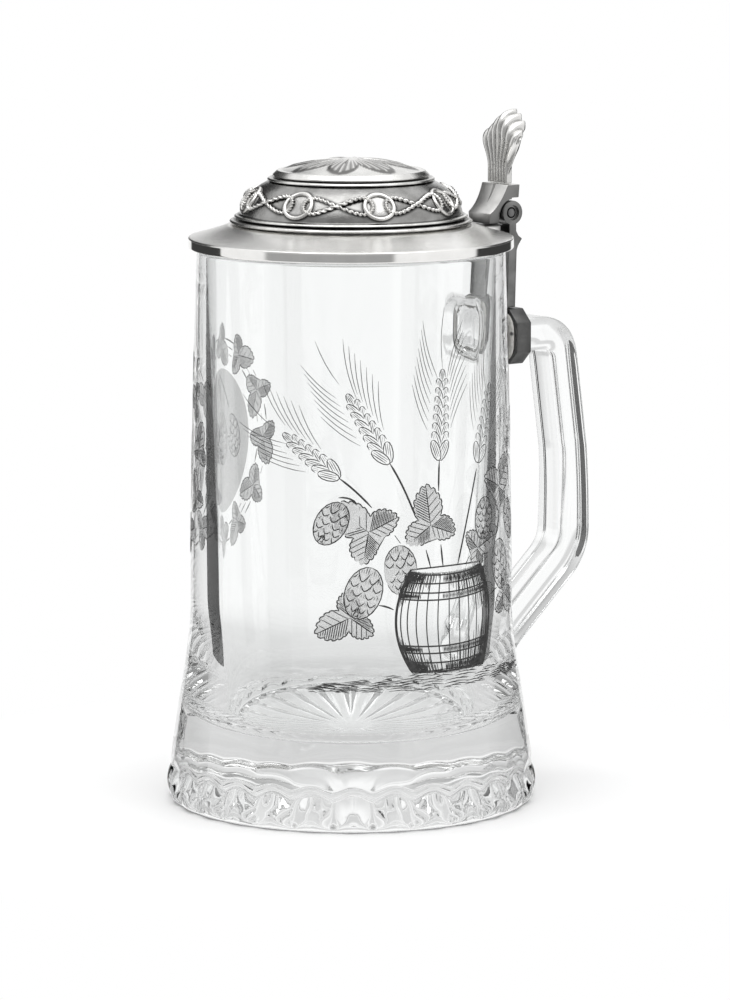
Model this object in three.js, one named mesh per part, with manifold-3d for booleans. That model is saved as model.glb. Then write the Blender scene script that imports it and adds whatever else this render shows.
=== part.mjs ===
// Lidded beer mug: a heavy glass mug with an applied glass handle, and a pewter lid that swings on a
// hinge carried by a strap and a split collar round the handle's upper arm.
// Millimetres, +Z up, +X along the handle. The origin is on the mug's axis, on the table.

import * as THREE from 'three';
import { mergeVertices } from 'three/addons/utils/BufferGeometryUtils.js';
import Module from 'manifold-3d';

const wasm = await Module();
wasm.setup();

// Clearances
const SEAT_GAP = 0.3;
const HINGE_GAP = 0.4;
const PIN_GAP = 0.3;
const LID_RIDGE_GAP = 0.6;

// Glass body
const MUG_HEIGHT = 158.3;
const RIM_RADIUS = 43.8;
const RIM_WALL = 2.4;
const RIM_ROUND = 0.8;
const WAIST_RADIUS = 46;
const WAIST_HEIGHT = 58;
const SIDE_BOW = 30;
const FLARE_RADIUS = 51.9;
const FLARE_LEAN = 1.6;
const FLARE_RISE = 16;
const WAIST_RISE = 14;
const FOOT_RADIUS = 53.1;
const FOOT_REST_RADIUS = 49.5;
const FOOT_RING_HEIGHT = 10.5;
const FOOT_RING_MIDDLE = 5;
const RING_GROOVE = 0.8;
const CAVITY_RADIUS = 40;
const CAVITY_CORNER = 9;
const FLOOR_HEIGHT = 21;

// Lens ring round the foot, and the pressed star under it
const LENS_COUNT = 28;
const LENS_TURN = 4.3;
const LENS_DEPTH = 1.6;
const STAR_RAYS = 28;
const STAR_RADIUS = 42;
const STAR_PEAK_RADIUS = 37;
const STAR_HUB_RADIUS = 10;
const STAR_DEPTH = 1.6;

// Handle, measured on its centre line: the drop is from the rim's height, the reaches from its radius
const HANDLE_THICKNESS = 9.8;
const HANDLE_LOWER_THICKNESS = 11;
const HANDLE_WIDTH = 14;
const HANDLE_CORNER = 3;
const HANDLE_DROP = 28.3;
const HANDLE_SHOULDER = 27.2;
const HANDLE_BELLY = 31.9;
const HANDLE_BELLY_HEIGHT = 96;
const HANDLE_ELBOW = 32.5;
const HANDLE_ELBOW_HEIGHT = 66;
const HANDLE_FOOT_HEIGHT = 37.4;
const HANDLE_BEND = 6.8;
const ROOT_SPREAD = 4.5;
const FOOT_SPREAD = 2.2;
const ROOT_LENGTH = 7;

// Collar and its bedding round the upper arm
const BEDDING = 0.8;
const COLLAR_WALL = 1.8;
const COLLAR_LENGTH = 5.4;

// Strap, knuckles and pin
const HINGE_OFFSET = 6.3;
const HINGE_RISE = 7.6;
const KNUCKLE_RADIUS = 3.5;
const CENTRE_KNUCKLE = 4.6;
const PIN_RADIUS = 1.3;
const PIN_RECESS = 0.6;
const STRAP_WIDTH = 12.6;
const STRAP_FOOT_WIDTH = 11;
const STRAP_THICKNESS = 3;
const STRAP_SETBACK = 1.4;
const NECK_THICKNESS = 2.4;
const NECK_DROP = 4.6;
const SPUR_REACH = 1.9;
const SPUR_DROP = 7.5;
const SPUR_HEIGHT = 3.4;

// Hinge block on the lid
const BLOCK_DEPTH = 3.6;
const BLOCK_FRONT_HEIGHT = 3;
const BLOCK_FOOT_WIDTH = 10;
const BLOCK_TOP_WIDTH = 12.6;
const BLOCK_HEIGHT = 11.1;
const BLOCK_BACK = 3.9;
const BLOCK_SWEEP = 2.2;
const SLAB_SETBACK = 1.9;
const SLAB_OVERHANG = 2.4;
const SLAB_THICKNESS = 3.8;

// Thumb lift. Shares are of its height
const LIFT_OFFSET = 0.9;
const LIFT_STEM_WIDTH = 9.2;
const LIFT_FAN_WIDTH = 13.8;
const LIFT_THICKNESS = 2.9;
const LIFT_ROLL = 5.2;
const LIFT_HEIGHT = 21.5;
const FAN_START_SHARE = 0.3;
const FAN_END_SHARE = 0.66;
const ROLL_END_SHARE = 0.85;
const CROWN_END_SHARE = 0.2;
const FLUTE_COUNT = 7;
const FLUTE_DEPTH = 0.5;

// Lid
const FLANGE_OVERHANG = 2.4;
const FLANGE_EDGE = 3;
const FLANGE_CHAMFER = 0.4;
const FLANGE_RISE = 3.7;
const FLANGE_WALL = 2;
const FLANGE_HOLE = 29;
const RIDGE_WIDTH = 2.4;
const RIDGE_DROP = 1.6;
const LUG_WIDTH = 12;
const LUG_LENGTH = 9.3;
const LUG_RISE = 1;
const DOME_RADIUS = 34.2;
const DOME_BEAD = 1.5;
const DOME_GROOVE = 1.6;
const UPPER_BEAD_RADIUS = 33;
const UPPER_BEAD = 1.2;
const BAND_FOOT_RADIUS = 31.6;
const BAND_TOP_RADIUS = 23.6;
const BAND_RISE = 9.1;
const BAND_SHOULDER_INSET = 0.7;
const BAND_SHOULDER_RISE = 5.6;
const DECK_BEAD_INSET = 0.4;
const DECK_BEAD = 1.2;
const DOME_WALL = 1.8;
const MEDALLION_RADIUS = 22.2;
const MEDALLION_FACE_RADIUS = 20.8;
const MEDALLION_EDGE = 0.4;
const MEDALLION_BEVEL = 1.3;
const MEDALLION_CROWN = 3.4;

// Facets
const WELD = 1e-3;
const BODY_SEGMENTS = 112;
const CAVITY_SEGMENTS = 48;
const LID_SEGMENTS = 48;
const HINGE_SEGMENTS = 24;
const CURVE_STEPS = 4;
const CORNER_STEPS = 3;
const HANDLE_STEPS = 34;
const LIFT_STEPS = 16;

// Places that follow from the sizes above
const handleTop = MUG_HEIGHT - HANDLE_DROP;
const flangeRadius = RIM_RADIUS + FLANGE_OVERHANG;
const hingeReach = flangeRadius + HINGE_OFFSET;
const hingeHeight = MUG_HEIGHT + HINGE_RISE;
const lidSeat = MUG_HEIGHT + SEAT_GAP;
const flangeTop = lidSeat + FLANGE_EDGE;
const domeSeat = flangeTop + FLANGE_RISE + SEAT_GAP;
const lugTop = flangeTop + LUG_RISE;
const lugEnd = hingeReach - BLOCK_BACK;
const blockFront = lugEnd - BLOCK_DEPTH;
const blockFoot = lugTop + SEAT_GAP;
const slabTop = blockFoot + BLOCK_HEIGHT;
const strapInner = hingeReach - STRAP_SETBACK;
const strapOuter = strapInner + STRAP_THICKNESS;
const collarInset = SEAT_GAP + BEDDING + SEAT_GAP;
const collarTop = handleTop + HANDLE_THICKNESS / 2 + collarInset + COLLAR_WALL;

// A closed geometry as a solid that can be joined and cut. Triangles that shrink to a line at a pole go.
function solid(geometry) {
  const bare = geometry.clone();
  bare.deleteAttribute('normal');
  bare.deleteAttribute('uv');
  const welded = mergeVertices(bare, WELD);
  const corners = welded.index.array;
  const kept = [];
  for (let i = 0; i < corners.length; i += 3) {
    const [a, b, c] = corners.slice(i, i + 3);
    if (a !== b && b !== c && c !== a) kept.push(a, b, c);
  }
  return new wasm.Manifold(new wasm.Mesh({
    numProp: 3,
    vertProperties: new Float32Array(welded.attributes.position.array),
    triVerts: new Uint32Array(kept),
  }));
}

// A finished solid as a named mesh.
function piece(name, body, material) {
  const { vertProperties, triVerts } = body.getMesh();
  const geometry = new THREE.BufferGeometry();
  geometry.setAttribute('position', new THREE.BufferAttribute(new Float32Array(vertProperties), 3));
  geometry.setIndex(new THREE.BufferAttribute(new Uint32Array(triVerts), 1));
  geometry.computeVertexNormals();
  const mesh = new THREE.Mesh(geometry, material);
  mesh.name = name;
  return mesh;
}

// A path of radius and height, turned about the Z axis.
function turned(path, segments) {
  const lathe = new THREE.LatheGeometry(path.getPoints(CURVE_STEPS), segments);
  lathe.rotateX(Math.PI / 2);
  return lathe;
}

// A side view drawn in X and Z, made as thick as width, centred on the handle's plane.
function sideView(shape, width) {
  const options = { depth: width, bevelEnabled: false, curveSegments: CURVE_STEPS };
  const plate = new THREE.ExtrudeGeometry(shape, options);
  plate.translate(0, 0, -width / 2);
  plate.rotateX(Math.PI / 2);
  return plate;
}

// A front view drawn in Y and Z, running from one reach to another along X.
function frontView(shape, from, to) {
  const options = { depth: to - from, bevelEnabled: false, curveSegments: CORNER_STEPS };
  const bar = new THREE.ExtrudeGeometry(shape, options);
  const axes = [new THREE.Vector3(0, 1, 0), new THREE.Vector3(0, 0, 1), new THREE.Vector3(1, 0, 0)];
  bar.applyMatrix4(new THREE.Matrix4().makeBasis(...axes));
  bar.translate(from, 0, 0);
  return bar;
}

// A round bar on the hinge's axis, between two places along Y.
function hingeBar(radius, from, to) {
  const bar = new THREE.CylinderGeometry(radius, radius, to - from, HINGE_SEGMENTS);
  bar.translate(hingeReach, (from + to) / 2, hingeHeight);
  return bar;
}

function polygon(points) {
  return new THREE.Shape(points.map(([x, y]) => new THREE.Vector2(x, y)));
}

// A rectangle with round corners about the middle of the handle's section.
function roundedBox(width, height, corner, middle) {
  const w = width / 2 - corner;
  const h = height / 2 - corner;
  const quarter = Math.PI / 2;
  const shape = new THREE.Shape();
  shape.absarc(w, middle + h, corner, 0, quarter);
  shape.absarc(-w, middle + h, corner, quarter, 2 * quarter);
  shape.absarc(-w, middle - h, corner, 2 * quarter, 3 * quarter);
  shape.absarc(w, middle - h, corner, 3 * quarter, 4 * quarter);
  return shape;
}

// The handle's section grown by an inset all round, at the height of the upper arm.
function armOutline(inset) {
  const width = HANDLE_WIDTH + 2 * inset;
  const height = HANDLE_THICKNESS + 2 * inset;
  return roundedBox(width, height, HANDLE_CORNER + inset, handleTop);
}

// A skin over cross-sections of equal point count, closed at both ends. A section has an origin, two
// directions and an outline drawn in them.
function loft(sections) {
  const count = sections[0].outline.length;
  const last = sections.length - 1;
  const positions = [];
  const index = [];
  for (const { origin, across, up, outline } of sections) {
    for (const { x, y } of outline) {
      const point = origin.clone().addScaledVector(across, x).addScaledVector(up, y);
      positions.push(...point.toArray());
    }
  }
  for (let s = 0; s < last; s += 1) {
    for (let k = 0; k < count; k += 1) {
      const a = s * count + k;
      const b = s * count + ((k + 1) % count);
      index.push(a, b, b + count, a, b + count, a + count);
    }
  }
  for (const [a, b, c] of THREE.ShapeUtils.triangulateShape(sections[0].outline, [])) {
    index.push(c, b, a);
  }
  for (const [a, b, c] of THREE.ShapeUtils.triangulateShape(sections[last].outline, [])) {
    index.push(last * count + a, last * count + b, last * count + c);
  }
  const geometry = new THREE.BufferGeometry();
  geometry.setAttribute('position', new THREE.Float32BufferAttribute(positions, 3));
  geometry.setIndex(index);
  return geometry;
}

// A section square to a path that is drawn in X and Z, at a share of the path's length.
function sectionAt(path, share, outline) {
  const point = path.getPointAt(share);
  const run = path.getTangentAt(share);
  return {
    origin: new THREE.Vector3(point.x, 0, point.y),
    across: new THREE.Vector3(0, 1, 0),
    up: new THREE.Vector3(-run.y, 0, run.x),
    outline,
  };
}

// The glass body's outside, grown by a gap. From the foot ring it flares in to a waist and bows to the rim.
function bodyOutline(gap) {
  const ringTop = FOOT_RING_HEIGHT + RING_GROOVE;
  const path = new THREE.Path();
  path.moveTo(0, 0);
  path.lineTo(STAR_HUB_RADIUS, 0);
  path.lineTo(STAR_PEAK_RADIUS, 0);
  path.lineTo(STAR_RADIUS, 0);
  path.lineTo(FOOT_REST_RADIUS + gap, 0);
  path.quadraticCurveTo(FOOT_RADIUS + gap, 0, FOOT_RADIUS + gap, FOOT_RING_MIDDLE);
  path.quadraticCurveTo(
    FOOT_RADIUS + gap,
    (FOOT_RING_MIDDLE + FOOT_RING_HEIGHT) / 2,
    FLARE_RADIUS - RING_GROOVE + gap,
    FOOT_RING_HEIGHT,
  );
  path.lineTo(FLARE_RADIUS + gap, ringTop);
  path.bezierCurveTo(
    FLARE_RADIUS - FLARE_LEAN + gap,
    ringTop + FLARE_RISE,
    WAIST_RADIUS + gap,
    WAIST_HEIGHT - WAIST_RISE,
    WAIST_RADIUS + gap,
    WAIST_HEIGHT,
  );
  path.quadraticCurveTo(
    WAIST_RADIUS + gap,
    WAIST_HEIGHT + SIDE_BOW,
    RIM_RADIUS + gap,
    MUG_HEIGHT - RIM_ROUND,
  );
  path.lineTo(RIM_RADIUS - RIM_ROUND + gap, MUG_HEIGHT);
  path.lineTo(0, MUG_HEIGHT);
  return path;
}

// The drinking space: a rounded floor, walls that thin towards the rim, and a softened inner lip.
function cavityOutline() {
  const mouth = RIM_RADIUS - RIM_WALL;
  const path = new THREE.Path();
  path.moveTo(0, FLOOR_HEIGHT);
  path.lineTo(CAVITY_RADIUS - CAVITY_CORNER, FLOOR_HEIGHT);
  path.quadraticCurveTo(CAVITY_RADIUS, FLOOR_HEIGHT, CAVITY_RADIUS, FLOOR_HEIGHT + CAVITY_CORNER);
  path.lineTo(mouth, MUG_HEIGHT - RIM_ROUND);
  path.lineTo(mouth + RIM_ROUND, MUG_HEIGHT);
  path.lineTo(mouth + RIM_ROUND, MUG_HEIGHT + SEAT_GAP);
  path.lineTo(0, MUG_HEIGHT + SEAT_GAP);
  return path;
}

// Lenses bulge round the foot ring, and narrow rays are pressed into the underside between hub and rest.
function pressFoot(geometry) {
  const place = geometry.attributes.position;
  for (let i = 0; i < place.count; i += 1) {
    const x = place.getX(i);
    const y = place.getY(i);
    const z = place.getZ(i);
    const radius = Math.hypot(x, y);
    const angle = Math.atan2(y, x);
    if (z > WELD && z < FOOT_RING_HEIGHT) {
      const valley = 1 - Math.abs(Math.cos((LENS_COUNT * angle) / 2));
      const depth = LENS_DEPTH * valley * Math.sin((Math.PI * z) / FOOT_RING_HEIGHT);
      place.setX(i, (x * (radius - depth)) / radius);
      place.setY(i, (y * (radius - depth)) / radius);
    } else if (z < WELD && Math.abs(radius - STAR_PEAK_RADIUS) < WELD) {
      place.setZ(i, STAR_DEPTH * Math.max(0, Math.cos(STAR_RAYS * angle)));
    }
  }
  return geometry;
}

function mugBody() {
  const outside = pressFoot(turned(bodyOutline(0), BODY_SEGMENTS));
  outside.rotateZ(THREE.MathUtils.degToRad(LENS_TURN));
  return solid(outside).subtract(solid(turned(cavityOutline(), CAVITY_SEGMENTS)));
}

// The handle's line: level out of the wall, round a shoulder, a slight belly, an elbow, and back on a slant.
function handleLine() {
  const shoulder = new THREE.Vector2(RIM_RADIUS + HANDLE_SHOULDER, handleTop);
  const belly = new THREE.Vector2(RIM_RADIUS + HANDLE_BELLY, HANDLE_BELLY_HEIGHT);
  const elbow = new THREE.Vector2(RIM_RADIUS + HANDLE_ELBOW, HANDLE_ELBOW_HEIGHT);
  const foot = new THREE.Vector2(WAIST_RADIUS, HANDLE_FOOT_HEIGHT);
  const slant = foot.clone().sub(elbow).normalize();
  const shoulderEnd = belly.clone().sub(shoulder).setLength(HANDLE_BEND).add(shoulder);
  const elbowStart = belly.clone().sub(elbow).setLength(HANDLE_BEND).add(elbow);
  const elbowEnd = elbow.clone().addScaledVector(slant, HANDLE_BEND);
  const buried = foot.clone().addScaledVector(slant, HANDLE_THICKNESS);
  const path = new THREE.Path();
  path.moveTo(RIM_RADIUS - HANDLE_THICKNESS, handleTop);
  path.lineTo(shoulder.x - HANDLE_BEND, shoulder.y);
  path.quadraticCurveTo(shoulder.x, shoulder.y, shoulderEnd.x, shoulderEnd.y);
  path.splineThru([belly, elbowStart]);
  path.quadraticCurveTo(elbow.x, elbow.y, elbowEnd.x, elbowEnd.y);
  path.lineTo(buried.x, buried.y);
  return path;
}

// The bar thickens below the belly, spreads where it is stuck to the body, and its ends follow the wall.
function mugHandle() {
  const path = handleLine();
  const length = path.getLength();
  const sections = [];
  for (let i = 0; i <= HANDLE_STEPS; i += 1) {
    const share = i / HANDLE_STEPS;
    const toEnd = length * Math.min(share, 1 - share) - HANDLE_THICKNESS;
    const most = share < 0.5 ? ROOT_SPREAD : FOOT_SPREAD;
    const spread = most * Math.max(0, 1 - Math.max(0, toEnd) / ROOT_LENGTH) ** 2;
    const drop = HANDLE_BELLY_HEIGHT - path.getPointAt(share).y;
    const lower = THREE.MathUtils.smoothstep(drop, 0, HANDLE_BELLY_HEIGHT - HANDLE_ELBOW_HEIGHT);
    const thickness = THREE.MathUtils.lerp(HANDLE_THICKNESS, HANDLE_LOWER_THICKNESS, lower);
    const width = HANDLE_WIDTH + 2 * spread;
    const height = thickness + 2 * spread;
    const outline = roundedBox(width, height, HANDLE_CORNER + spread, 0).getPoints(1);
    outline.pop();
    sections.push(sectionAt(path, share, outline));
  }
  return solid(loft(sections)).subtract(solid(turned(bodyOutline(SEAT_GAP), BODY_SEGMENTS)));
}

// A ring round the upper arm between two insets from the glass.
function armRing(inner, outer) {
  const shape = armOutline(outer);
  shape.holes.push(armOutline(inner));
  return solid(frontView(shape, strapInner, strapInner + COLLAR_LENGTH));
}

// Half of the collar, kept on one side of the arm's middle.
function collarHalf(side) {
  const ring = armRing(collarInset, collarInset + COLLAR_WALL);
  const reach = HANDLE_WIDTH + 2 * HANDLE_THICKNESS;
  const other = new THREE.BoxGeometry(2 * COLLAR_LENGTH, 2 * reach, reach + SEAT_GAP);
  other.translate(strapInner + COLLAR_LENGTH / 2, 0, handleTop - (side * reach) / 2);
  return ring.subtract(solid(other));
}

// The strap stands on the collar, carries a small spur outside, and ends in two knuckles.
function strapBody() {
  const foot = collarTop + SEAT_GAP;
  const spur = hingeHeight - SPUR_DROP;
  const neck = hingeHeight - NECK_DROP;
  const neckInner = hingeReach - NECK_THICKNESS / 2;
  const neckOuter = hingeReach + NECK_THICKNESS / 2;
  const crown = hingeHeight + KNUCKLE_RADIUS;
  const slot = CENTRE_KNUCKLE / 2 + HINGE_GAP;
  const side = polygon([
    [strapInner, foot],
    [strapOuter, foot],
    [strapOuter, spur - SPUR_HEIGHT],
    [strapOuter + SPUR_REACH, spur],
    [neckOuter, neck],
    [neckOuter, hingeHeight],
    [neckInner, hingeHeight],
    [neckInner, neck],
    [strapInner, spur],
  ]);
  const front = polygon([
    [-STRAP_FOOT_WIDTH / 2, foot],
    [STRAP_FOOT_WIDTH / 2, foot],
    [STRAP_WIDTH / 2, spur],
    [STRAP_WIDTH / 2, crown],
    [-STRAP_WIDTH / 2, crown],
    [-STRAP_WIDTH / 2, spur],
  ]);
  const plate = solid(sideView(side, STRAP_WIDTH));
  const taper = solid(frontView(front, strapInner - STRAP_WIDTH, strapOuter + STRAP_WIDTH));
  return plate.intersect(taper)
    .add(solid(hingeBar(KNUCKLE_RADIUS, -STRAP_WIDTH / 2, STRAP_WIDTH / 2)))
    .subtract(solid(hingeBar(KNUCKLE_RADIUS + HINGE_GAP, -slot, slot)))
    .subtract(solid(hingeBar(PIN_RADIUS + PIN_GAP, -STRAP_WIDTH, STRAP_WIDTH)));
}

function hingePin() {
  const end = STRAP_WIDTH / 2 - PIN_RECESS;
  return solid(hingeBar(PIN_RADIUS, -end, end));
}

// The block stands on the flange's lug, sweeps up to a slab over the knuckles, and holds the middle knuckle.
function hingeBlock() {
  const slabFront = hingeReach - SLAB_SETBACK;
  const slabBack = hingeReach + SLAB_OVERHANG;
  const brow = blockFoot + BLOCK_FRONT_HEIGHT;
  const side = new THREE.Shape();
  side.moveTo(blockFront, blockFoot);
  side.lineTo(lugEnd, blockFoot);
  side.lineTo(lugEnd, hingeHeight);
  side.lineTo(hingeReach, hingeHeight);
  side.lineTo(hingeReach, slabTop - SLAB_THICKNESS);
  side.lineTo(slabBack, slabTop - SLAB_THICKNESS);
  side.lineTo(slabBack, slabTop);
  side.lineTo(slabFront, slabTop);
  side.quadraticCurveTo(slabFront - BLOCK_SWEEP, brow + BLOCK_SWEEP, blockFront, brow);
  const front = polygon([
    [-BLOCK_FOOT_WIDTH / 2, blockFoot],
    [BLOCK_FOOT_WIDTH / 2, blockFoot],
    [BLOCK_TOP_WIDTH / 2, slabTop],
    [-BLOCK_TOP_WIDTH / 2, slabTop],
  ]);
  const ear = CENTRE_KNUCKLE / 2;
  const swing = KNUCKLE_RADIUS + HINGE_GAP;
  return solid(sideView(side, BLOCK_TOP_WIDTH))
    .intersect(solid(frontView(front, blockFront - LUG_LENGTH, slabBack + LUG_LENGTH)))
    .subtract(solid(hingeBar(swing, ear, STRAP_WIDTH)))
    .subtract(solid(hingeBar(swing, -STRAP_WIDTH, -ear)))
    .add(solid(hingeBar(KNUCKLE_RADIUS, -ear, ear)))
    .subtract(solid(hingeBar(PIN_RADIUS + PIN_GAP, -STRAP_WIDTH, STRAP_WIDTH)));
}

// The lift's section: flutes on both faces, shallower than the leaf is thick.
function fluted(width, thickness, depth) {
  const steps = 2 * FLUTE_COUNT;
  const front = [];
  const back = [];
  for (let k = 0; k <= steps; k += 1) {
    const y = width * (k / steps - 0.5);
    const half = thickness / 2 - (k % 2 === 0 ? depth : 0);
    front.push(new THREE.Vector2(y, -half));
    back.unshift(new THREE.Vector2(y, half));
  }
  return [...front, ...back];
}

// A fluted leaf that fans out above its stem, rolls outwards behind a straight front and closes in a crown
// that stands over the roll.
function thumbLift() {
  const stemBack = hingeReach + LIFT_OFFSET + LIFT_THICKNESS / 2;
  const foot = slabTop + SEAT_GAP;
  const sections = [];
  for (let i = 0; i <= LIFT_STEPS; i += 1) {
    const share = Math.sin((Math.PI * i) / (2 * LIFT_STEPS));
    const fan = THREE.MathUtils.smoothstep(share, FAN_START_SHARE, FAN_END_SHARE);
    const roll = LIFT_ROLL * THREE.MathUtils.smoothstep(share, FAN_START_SHARE, ROLL_END_SHARE);
    const rise = Math.max(0, (share - FAN_END_SHARE) / (1 - FAN_END_SHARE));
    const close = Math.max(CROWN_END_SHARE, Math.cos((Math.PI * rise) / 2));
    const width = THREE.MathUtils.lerp(LIFT_STEM_WIDTH, LIFT_FAN_WIDTH, fan) * close;
    const thickness = (LIFT_THICKNESS + roll) * close;
    sections.push({
      origin: new THREE.Vector3(stemBack + roll - thickness / 2, 0, foot + LIFT_HEIGHT * share),
      across: new THREE.Vector3(0, 1, 0),
      up: new THREE.Vector3(-1, 0, 0),
      outline: fluted(width, thickness, FLUTE_DEPTH * close),
    });
  }
  return solid(loft(sections));
}

// The flange rests on the rim, with a ridge that drops inside the mouth and a lug under the hinge block.
function lidFlange() {
  const ridgeOuter = RIM_RADIUS - RIM_WALL - LID_RIDGE_GAP;
  const ridgeInner = ridgeOuter - RIDGE_WIDTH;
  const inner = domeSeat - SEAT_GAP;
  const path = new THREE.Path();
  path.moveTo(FLANGE_HOLE, inner - FLANGE_WALL);
  path.lineTo(ridgeInner, lidSeat);
  path.lineTo(ridgeInner, lidSeat - RIDGE_DROP);
  path.lineTo(ridgeOuter, lidSeat - RIDGE_DROP);
  path.lineTo(ridgeOuter, lidSeat);
  path.lineTo(flangeRadius - FLANGE_CHAMFER, lidSeat);
  path.lineTo(flangeRadius, lidSeat + FLANGE_CHAMFER);
  path.lineTo(flangeRadius, flangeTop - FLANGE_CHAMFER);
  path.lineTo(flangeRadius - FLANGE_CHAMFER, flangeTop);
  path.lineTo(DOME_RADIUS, inner);
  path.lineTo(FLANGE_HOLE, inner);
  path.lineTo(FLANGE_HOLE, inner - FLANGE_WALL);
  const lug = new THREE.BoxGeometry(LUG_LENGTH, LUG_WIDTH, lugTop - lidSeat - FLANGE_CHAMFER);
  lug.translate(lugEnd - LUG_LENGTH / 2, 0, (lugTop + lidSeat + FLANGE_CHAMFER) / 2);
  return solid(turned(path, LID_SEGMENTS)).add(solid(lug));
}

// A hollow dome: two beads at its foot, a swelling ornament band, and a bead round a flat deck.
function lidDome() {
  const beadTop = domeSeat + DOME_BEAD;
  const bandFoot = beadTop + UPPER_BEAD;
  const bandTop = bandFoot + BAND_RISE;
  const deck = bandTop + DECK_BEAD;
  const deckEdge = BAND_TOP_RADIUS - DECK_BEAD_INSET;
  const shoulder = BAND_FOOT_RADIUS - BAND_SHOULDER_INSET;
  const shoulderHeight = bandFoot + BAND_SHOULDER_RISE;
  const path = new THREE.Path();
  path.moveTo(0, deck - DOME_WALL);
  path.lineTo(BAND_TOP_RADIUS - DOME_WALL, deck - DOME_WALL);
  path.quadraticCurveTo(
    shoulder - DOME_WALL,
    shoulderHeight - DOME_WALL,
    BAND_FOOT_RADIUS - DOME_WALL,
    bandFoot,
  );
  path.lineTo(BAND_FOOT_RADIUS - DOME_WALL, domeSeat);
  path.lineTo(DOME_RADIUS - DOME_BEAD / 2, domeSeat);
  path.quadraticCurveTo(
    DOME_RADIUS + DOME_BEAD / 2,
    (domeSeat + beadTop) / 2,
    DOME_RADIUS - DOME_GROOVE,
    beadTop,
  );
  path.quadraticCurveTo(
    UPPER_BEAD_RADIUS + UPPER_BEAD,
    (beadTop + bandFoot) / 2,
    BAND_FOOT_RADIUS,
    bandFoot,
  );
  path.quadraticCurveTo(shoulder, shoulderHeight, BAND_TOP_RADIUS, bandTop);
  path.lineTo(deckEdge, bandTop);
  path.quadraticCurveTo(BAND_TOP_RADIUS + DECK_BEAD_INSET, bandTop + DECK_BEAD / 2, deckEdge, deck);
  path.lineTo(0, deck);
  return solid(turned(path, LID_SEGMENTS));
}

// A bevelled disc with a crowned face, let in on the dome's deck.
function lidMedallion() {
  const seat = domeSeat + DOME_BEAD + UPPER_BEAD + BAND_RISE + DECK_BEAD + SEAT_GAP;
  const face = seat + MEDALLION_EDGE + MEDALLION_BEVEL;
  const path = new THREE.Path();
  path.moveTo(0, seat);
  path.lineTo(MEDALLION_RADIUS, seat);
  path.lineTo(MEDALLION_RADIUS, seat + MEDALLION_EDGE);
  path.lineTo(MEDALLION_FACE_RADIUS, face);
  path.quadraticCurveTo(MEDALLION_FACE_RADIUS / 2, face + MEDALLION_CROWN, 0, face + MEDALLION_CROWN);
  return solid(turned(path, LID_SEGMENTS));
}

const clearGlass = new THREE.MeshStandardMaterial({
  color: 0xeaf1f0,
  roughness: 0.04,
  metalness: 0,
  transparent: true,
  opacity: 0.4,
});
const brightPewter = new THREE.MeshStandardMaterial({ color: 0xb9b8b3, roughness: 0.32, metalness: 1 });
const darkPewter = new THREE.MeshStandardMaterial({ color: 0x6d6c69, roughness: 0.4, metalness: 1 });
const bedding = new THREE.MeshStandardMaterial({ color: 0xc9c4b6, roughness: 0.85, metalness: 0 });

const mug = new THREE.Group();
mug.add(
  piece('mug_body', mugBody(), clearGlass),
  piece('mug_handle', mugHandle(), clearGlass),
  piece('collar_saddle', collarHalf(1), darkPewter),
  piece('collar_keeper', collarHalf(-1), darkPewter),
  piece('collar_bedding', armRing(SEAT_GAP, SEAT_GAP + BEDDING), bedding),
  piece('strap', strapBody(), darkPewter),
  piece('hinge_pin', hingePin(), darkPewter),
);

const lid = new THREE.Group();
lid.add(
  piece('hinge_block', hingeBlock(), darkPewter),
  piece('thumb_lift', thumbLift(), brightPewter),
  piece('lid_flange', lidFlange(), brightPewter),
  piece('lid_dome', lidDome(), darkPewter),
  piece('lid_medallion', lidMedallion(), brightPewter),
);

const stein = new THREE.Group();
stein.add(mug, lid);

export default stein;
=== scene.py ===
# Lidded glass beer mug, dressed round its CAD frame. Lengths are in millimetres until a piece is finished.
import math

import bmesh
import bpy
from mathutils import Matrix, Vector


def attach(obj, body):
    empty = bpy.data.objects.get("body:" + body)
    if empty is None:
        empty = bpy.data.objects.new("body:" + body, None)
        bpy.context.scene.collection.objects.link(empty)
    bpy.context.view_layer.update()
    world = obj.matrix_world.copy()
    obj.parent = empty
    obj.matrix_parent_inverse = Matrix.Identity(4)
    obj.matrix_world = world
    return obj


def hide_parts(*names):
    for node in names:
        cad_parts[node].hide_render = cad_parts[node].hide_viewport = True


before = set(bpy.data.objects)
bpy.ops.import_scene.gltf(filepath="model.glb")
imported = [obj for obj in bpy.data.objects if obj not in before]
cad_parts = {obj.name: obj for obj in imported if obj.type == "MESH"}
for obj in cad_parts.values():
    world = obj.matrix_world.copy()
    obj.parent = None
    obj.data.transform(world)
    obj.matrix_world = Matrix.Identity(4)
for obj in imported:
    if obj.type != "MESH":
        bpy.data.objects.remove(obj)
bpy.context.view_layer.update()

# The mug itself: clear soda-lime glass, pressed with a heavy flared foot, a ring of lenses round the foot
# and a star under it. The bar handle is stuck on hot, so body and handle are one lump of glass.
BODY_STEPS = 448
LENSES = 28
LENS_TURN = math.radians(4.3)
LENS_DEPTH = 1.7
LENS_TOP = 10.9
LENS_CREST = 1.9
FLARE_TOP = 24
STAR_RAYS = 28
STAR_DEPTH = 1.3
STAR_HUB = 6
STAR_REACH = 46.6
ARM_HEIGHT = 130
ARM_STEPS = 16
ARM_SPREAD = 4.6
FOOT_SPREAD = 3.0
FOOT_ROOT = (46.5, 37.9)
EDGE_MARGIN = 0.25


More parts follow.
